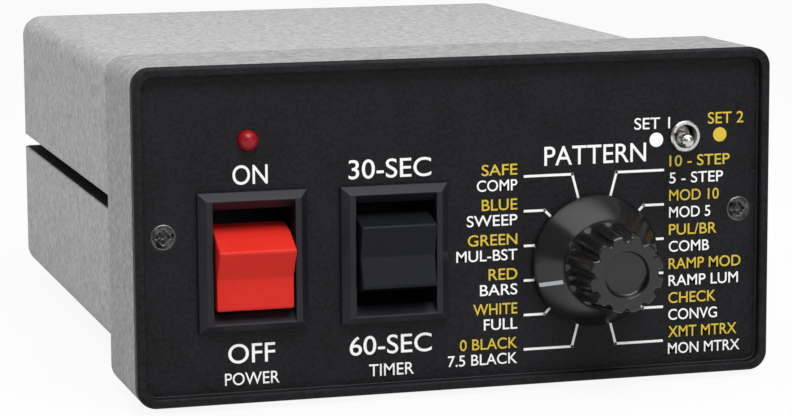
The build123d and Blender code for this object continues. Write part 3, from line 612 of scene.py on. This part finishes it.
corners = [((SHAFT_RADIUS, SHAFT_TOP), 0.05), ((SHAFT_RADIUS, POCKET_TOP), 0.1), ((POCKET_RADIUS, POCKET_TOP), 0.2),
           ((POCKET_RADIUS, KNOB_BASE), 0.15), ((SKIRT_RADIUS, KNOB_BASE), 0.2), ((SKIRT_RADIUS, KNOB_EDGE), 0.3),
           ((GRIP_BASE, KNOB_GRIP), 0.9), ((GRIP_TIP, KNOB_TIP), 0.55), ((DISH_RADIUS, KNOB_TIP), 0.25),
           ((DISH_RADIUS - 0.2, KNOB_TIP + DISH_DEPTH), 0.5)]
profile = [Vector((0.0, SHAFT_TOP))]
for place, (corner, radius) in enumerate(corners):
    before = corners[place - 1][0] if place else (0.0, SHAFT_TOP)
    after = corners[place + 1][0] if place + 1 < len(corners) else (0.0, KNOB_TIP + DISH_DEPTH)
    turn = corner_arc(before, corner, after, radius)
    profile += split_run(profile[-1], turn[0], 8) + turn
profile.append(Vector((0.0, KNOB_TIP + DISH_DEPTH)))
print("knob profile:", len(profile), "points")


# %% Knob tree
def knob_tree():
    tree = bpy.data.node_groups.new("fluted_knob", "GeometryNodeTree")
    tree.interface.new_socket(name="Geometry", in_out="INPUT", socket_type="NodeSocketGeometry")
    for label in ("Steps", "Rows"):
        tree.interface.new_socket(name=label, in_out="INPUT", socket_type="NodeSocketInt")
    for label in ("Flutes", "Flute Depth", "Grip Start", "Run Out", "Face Radius", "Face Fade"):
        tree.interface.new_socket(name=label, in_out="INPUT", socket_type="NodeSocketFloat")
    tree.interface.new_socket(name="Centre", in_out="INPUT", socket_type="NodeSocketVector")
    tree.interface.new_socket(name="Finish", in_out="INPUT", socket_type="NodeSocketMaterial")
    tree.interface.new_socket(name="Geometry", in_out="OUTPUT", socket_type="NodeSocketGeometry")
    given, result = tree.nodes.new("NodeGroupInput"), tree.nodes.new("NodeGroupOutput")

    def sum_of(operation, first, second, clamp=False):
        node = add_node(tree, "ShaderNodeMath", operation=operation, use_clamp=clamp)
        for socket, value in ((node.inputs[0], first), (node.inputs[1], second)):
            if isinstance(value, (int, float)):
                socket.default_value = value
            elif value is not None:
                link(tree, value, socket)
        return node.outputs[0]

    sheet = add_node(tree, "GeometryNodeMeshGrid")
    link(tree, given.outputs["Steps"], sheet.inputs["Vertices X"])
    link(tree, given.outputs["Rows"], sheet.inputs["Vertices Y"])
    index = add_node(tree, "GeometryNodeInputIndex").outputs[0]
    row = sum_of("MODULO", index, given.outputs["Rows"])
    column = sum_of("FLOOR", sum_of("DIVIDE", sum_of("ADD", index, 0.5), given.outputs["Rows"]), None)
    round_share = sum_of("DIVIDE", column, sum_of("SUBTRACT", given.outputs["Steps"], 1.0))
    angle = sum_of("MULTIPLY", round_share, math.tau)
    read = add_node(tree, "GeometryNodeSampleIndex", data_type="FLOAT_VECTOR", domain="POINT")
    link(tree, given.outputs["Geometry"], read.inputs["Geometry"])
    where = add_node(tree, "GeometryNodeInputPosition")
    link(tree, where.outputs[0], read.inputs["Value"])
    link(tree, row, read.inputs["Index"])
    parts = add_node(tree, "ShaderNodeSeparateXYZ")
    link(tree, read.outputs["Value"], parts.inputs[0])
    radius, depth = parts.outputs["X"], parts.outputs["Y"]
    wave = sum_of("COSINE", sum_of("MULTIPLY", angle, given.outputs["Flutes"]), None)
    notch = sum_of("POWER", sum_of("MAXIMUM", wave, 0.0), 0.75)
    along = sum_of("DIVIDE", sum_of("SUBTRACT", given.outputs["Grip Start"], depth), given.outputs["Run Out"], True)
    outside = sum_of("DIVIDE", sum_of("SUBTRACT", radius, given.outputs["Face Radius"]),
                     given.outputs["Face Fade"], True)
    press = sum_of("MULTIPLY", sum_of("MULTIPLY", notch, given.outputs["Flute Depth"]),
                   sum_of("MULTIPLY", along, outside))
    reach = sum_of("SUBTRACT", radius, press)
    point = add_node(tree, "ShaderNodeCombineXYZ")
    link(tree, sum_of("MULTIPLY", reach, sum_of("COSINE", angle, None)), point.inputs["X"])
    link(tree, depth, point.inputs["Y"])
    link(tree, sum_of("MULTIPLY", reach, sum_of("SINE", angle, None)), point.inputs["Z"])
    placed = add_node(tree, "ShaderNodeVectorMath", operation="ADD")
    link(tree, point.outputs[0], placed.inputs[0])
    link(tree, given.outputs["Centre"], placed.inputs[1])
    move = add_node(tree, "GeometryNodeSetPosition")
    link(tree, sheet.outputs["Mesh"], move.inputs["Geometry"])
    link(tree, placed.outputs[0], move.inputs["Position"])
    close = add_node(tree, "GeometryNodeMergeByDistance")
    close.inputs["Distance"].default_value = 0.000002
    link(tree, move.outputs["Geometry"], close.inputs["Geometry"])
    real = add_node(tree, "GeometryNodeRealizeInstances")
    coat = add_node(tree, "GeometryNodeSetMaterial")
    link(tree, close.outputs["Geometry"], real.inputs["Geometry"])
    link(tree, real.outputs["Geometry"], coat.inputs["Geometry"])
    link(tree, given.outputs["Finish"], coat.inputs["Material"])
    link(tree, coat.outputs["Geometry"], result.inputs["Geometry"])
    return tree


# %% Turn the knob
FLUTES = 12
STEPS_PER_FLUTE = 24
FLUTE_DEPTH = 1.0
FLUTE_RUN_OUT = 1.2
FACE_RADIUS = 5.3
FACE_FADE = 1.9
lathe_line = bpy.data.meshes.new("knob_profile")
lathe_line.from_pydata([(point.x * MM, point.y * MM, 0.0) for point in profile], [], [])
knob_mesh = run_tree("fluted_knob", lathe_line, knob_tree(), {
    "Steps": FLUTES * STEPS_PER_FLUTE + 1, "Rows": len(profile), "Flutes": float(FLUTES),
    "Flute Depth": FLUTE_DEPTH * MM, "Grip Start": (KNOB_GRIP - 0.1) * MM, "Run Out": FLUTE_RUN_OUT * MM,
    "Face Radius": FACE_RADIUS * MM, "Face Fade": FACE_FADE * MM,
    "Centre": (KNOB_X * MM, rim_front, rim_bottom + KNOB_Z * MM), "Finish": knob_black})
turned_right = bmesh.new()
turned_right.from_mesh(knob_mesh)
bmesh.ops.recalc_face_normals(turned_right, faces=turned_right.faces)
for face in turned_right.faces:
    face.smooth = True
turned_right.to_mesh(knob_mesh)
turned_right.free()
knob = to_piece("fluted_knob", knob_mesh, knob_black, "selector")
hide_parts("selector_knob")
print("knob faces:", len(knob_mesh.polygons))


# %% [markdown]
# The pointer is a pale line filled into the skirt. It lies on the cone, so its corners are
# worked out from the cone's own slope, and it turns with the knob.

# %% Pointer
def cone_point(radius, aside, turn, lift):
    slope = (KNOB_EDGE - KNOB_GRIP) / (SKIRT_RADIUS - GRIP_BASE)
    depth = KNOB_EDGE - (SKIRT_RADIUS - radius) * slope
    outward = Vector((-math.cos(turn), 0.0, -math.sin(turn)))
    across = Vector((-math.sin(turn), 0.0, math.cos(turn)))
    steep = Vector((slope, -1.0)).normalized() * lift
    spot = outward * (math.sqrt(radius ** 2 - aside ** 2) + steep.x) + across * aside
    spot.y = depth + steep.y
    return Vector((KNOB_X * MM, rim_front, rim_bottom + KNOB_Z * MM)) + spot * MM


def pointer_line(inner, outer, half_width, turn, steps=12):
    build = bmesh.new()
    rings = []
    for step in range(steps + 1):
        radius = inner + (outer - inner) * step / steps
        corner_set = ((-half_width, 0.0), (-half_width, 0.06), (half_width, 0.06), (half_width, 0.0))
        rings.append([build.verts.new(cone_point(radius, aside, turn, lift)) for aside, lift in corner_set])
    for near, far in zip(rings, rings[1:]):
        for side in range(4):
            other = (side + 1) % 4
            build.faces.new((near[side], near[other], far[other], far[side]))
    build.faces.new(rings[0])
    build.faces.new(list(reversed(rings[-1])))
    bmesh.ops.recalc_face_normals(build, faces=build.faces)
    mesh = bpy.data.meshes.new("pointer_line")
    build.to_mesh(mesh)
    build.free()
    return mesh


POINTER_TURN = math.radians(19)
POINTER_INNER = 9.3
POINTER_OUTER = 12.9
POINTER_HALF_WIDTH = 0.4
line = pointer_line(POINTER_INNER, POINTER_OUTER, POINTER_HALF_WIDTH, POINTER_TURN)
to_piece("pointer_line", line, ink_pointer, "selector")


# %% [markdown]
# The studio is a pale floor with broad soft lamps: one wide lamp overhead for the bright
# top and the knob's skirt, a key high in front so that faces turned down stay darker, a fill
# from the left for the case's side, and a low front lamp that shows in glossy faces only
# faintly. The floor and the world are white where the camera, a mirror or glass sees them.

# %% Floor and world
def studio_floor():
    build = bmesh.new()
    size = 3.0
    corners = [build.verts.new((x, y, 0.0)) for x, y in ((-size, -size), (size, -size), (size, size), (-size, size))]
    build.faces.new(corners)
    mesh = bpy.data.meshes.new("studio_floor")
    build.to_mesh(mesh)
    build.free()
    floor = bpy.data.objects.new("studio_floor", mesh)
    bpy.context.scene.collection.objects.link(floor)
    material = bpy.data.materials.new("floor_paper")
    material.use_nodes = True
    tree = material.node_tree
    tree.nodes.clear()
    seen = add_node(tree, "ShaderNodeLightPath")
    either = add_node(tree, "ShaderNodeMath", operation="MAXIMUM")
    link(tree, seen.outputs["Is Camera Ray"], either.inputs[0])
    link(tree, seen.outputs["Is Glossy Ray"], either.inputs[1])
    share = add_node(tree, "ShaderNodeMath", operation="MULTIPLY")
    share.inputs[1].default_value = 0.92
    link(tree, either.outputs[0], share.inputs[0])
    paper = add_node(tree, "ShaderNodeBsdfDiffuse")
    paper.inputs["Color"].default_value = (0.6, 0.6, 0.6, 1)
    glow = add_node(tree, "ShaderNodeEmission")
    mixed = add_node(tree, "ShaderNodeMixShader")
    link(tree, share.outputs[0], mixed.inputs[0])
    link(tree, paper.outputs[0], mixed.inputs[1])
    link(tree, glow.outputs[0], mixed.inputs[2])
    out = add_node(tree, "ShaderNodeOutputMaterial")
    link(tree, mixed.outputs[0], out.inputs["Surface"])
    mesh.materials.append(material)


def studio_world(strength):
    world = bpy.data.worlds.new("studio")
    bpy.context.scene.world = world
    world.use_nodes = True
    tree = world.node_tree
    tree.nodes.clear()
    seen = add_node(tree, "ShaderNodeLightPath")
    either = add_node(tree, "ShaderNodeMath", operation="MAXIMUM")
    link(tree, seen.outputs["Is Camera Ray"], either.inputs[0])
    link(tree, seen.outputs["Is Transmission Ray"], either.inputs[1])
    ambient = add_node(tree, "ShaderNodeBackground", Strength=strength)
    ambient.inputs["Color"].default_value = (1, 1, 1, 1)
    white = add_node(tree, "ShaderNodeBackground", Strength=1.0)
    white.inputs["Color"].default_value = (1, 1, 1, 1)
    mixed = add_node(tree, "ShaderNodeMixShader")
    link(tree, either.outputs[0], mixed.inputs[0])
    link(tree, ambient.outputs[0], mixed.inputs[1])
    link(tree, white.outputs[0], mixed.inputs[2])
    out = add_node(tree, "ShaderNodeOutputWorld")
    link(tree, mixed.outputs[0], out.inputs["Surface"])


# %% Lamps
def soft_lamp(name, place, aim, size, power):
    data = bpy.data.lights.new(name, "AREA")
    data.shape = "RECTANGLE"
    data.size, data.size_y = size
    data.energy = power
    lamp = bpy.data.objects.new(name, data)
    lamp.location = place
    lamp.rotation_mode = "QUATERNION"
    lamp.rotation_quaternion = (Vector(aim) - Vector(place)).to_track_quat("-Z", "Y")
    bpy.context.scene.collection.objects.link(lamp)


studio_floor()
studio_world(0.2)
soft_lamp("overhead", (0.2, 0.03, 0.95), (0.2, 0.03, 0.03), (1.9, 0.85), 9.0)
soft_lamp("left_fill", (-0.9, 0.25, 0.45), (0, 0, 0.03), (0.6, 0.6), 2.4)
soft_lamp("front_key", (0.0, -0.62, 0.9), (0, -0.08, 0.03), (0.7, 0.4), 9.5)
soft_lamp("front_low", (0.35, -1.25, 0.42), (0.02, -0.08, 0.03), (0.7, 0.4), 2.4)
print("studio lit")


# %% [markdown]
# The camera stands a little left of the front and slightly above it, about 57 centimetres
# away, which gives the strong convergence of the case's long edges.

# %% Camera
YAW = math.radians(16.06)
PITCH = math.radians(8.57)
ROLL = math.radians(-0.35)
STAND = (-168.8, -539.65, 121.65)
LENS = 132.28

ahead = Vector((math.sin(YAW) * math.cos(PITCH), math.cos(YAW) * math.cos(PITCH), -math.sin(PITCH)))
level = Vector((math.cos(YAW), -math.sin(YAW), 0.0))
above = level.cross(ahead)
right = math.cos(ROLL) * level + math.sin(ROLL) * above
upward = -math.sin(ROLL) * level + math.cos(ROLL) * above
lens = bpy.data.cameras.new("camera")
lens.lens = LENS
lens.sensor_width = 36.0
lens.clip_start = 0.01
camera = bpy.data.objects.new("camera", lens)
bpy.context.scene.collection.objects.link(camera)
turned = Matrix((right, upward, -ahead)).transposed().to_4x4()
stand = Vector((STAND[0] * MM, rim_front + STAND[1] * MM, rim_bottom + STAND[2] * MM))
camera.matrix_world = Matrix.Translation(stand) @ turned
bpy.context.scene.camera = camera
bpy.context.scene.view_settings.view_transform = "Standard"
print("camera at", [round(c, 3) for c in stand])
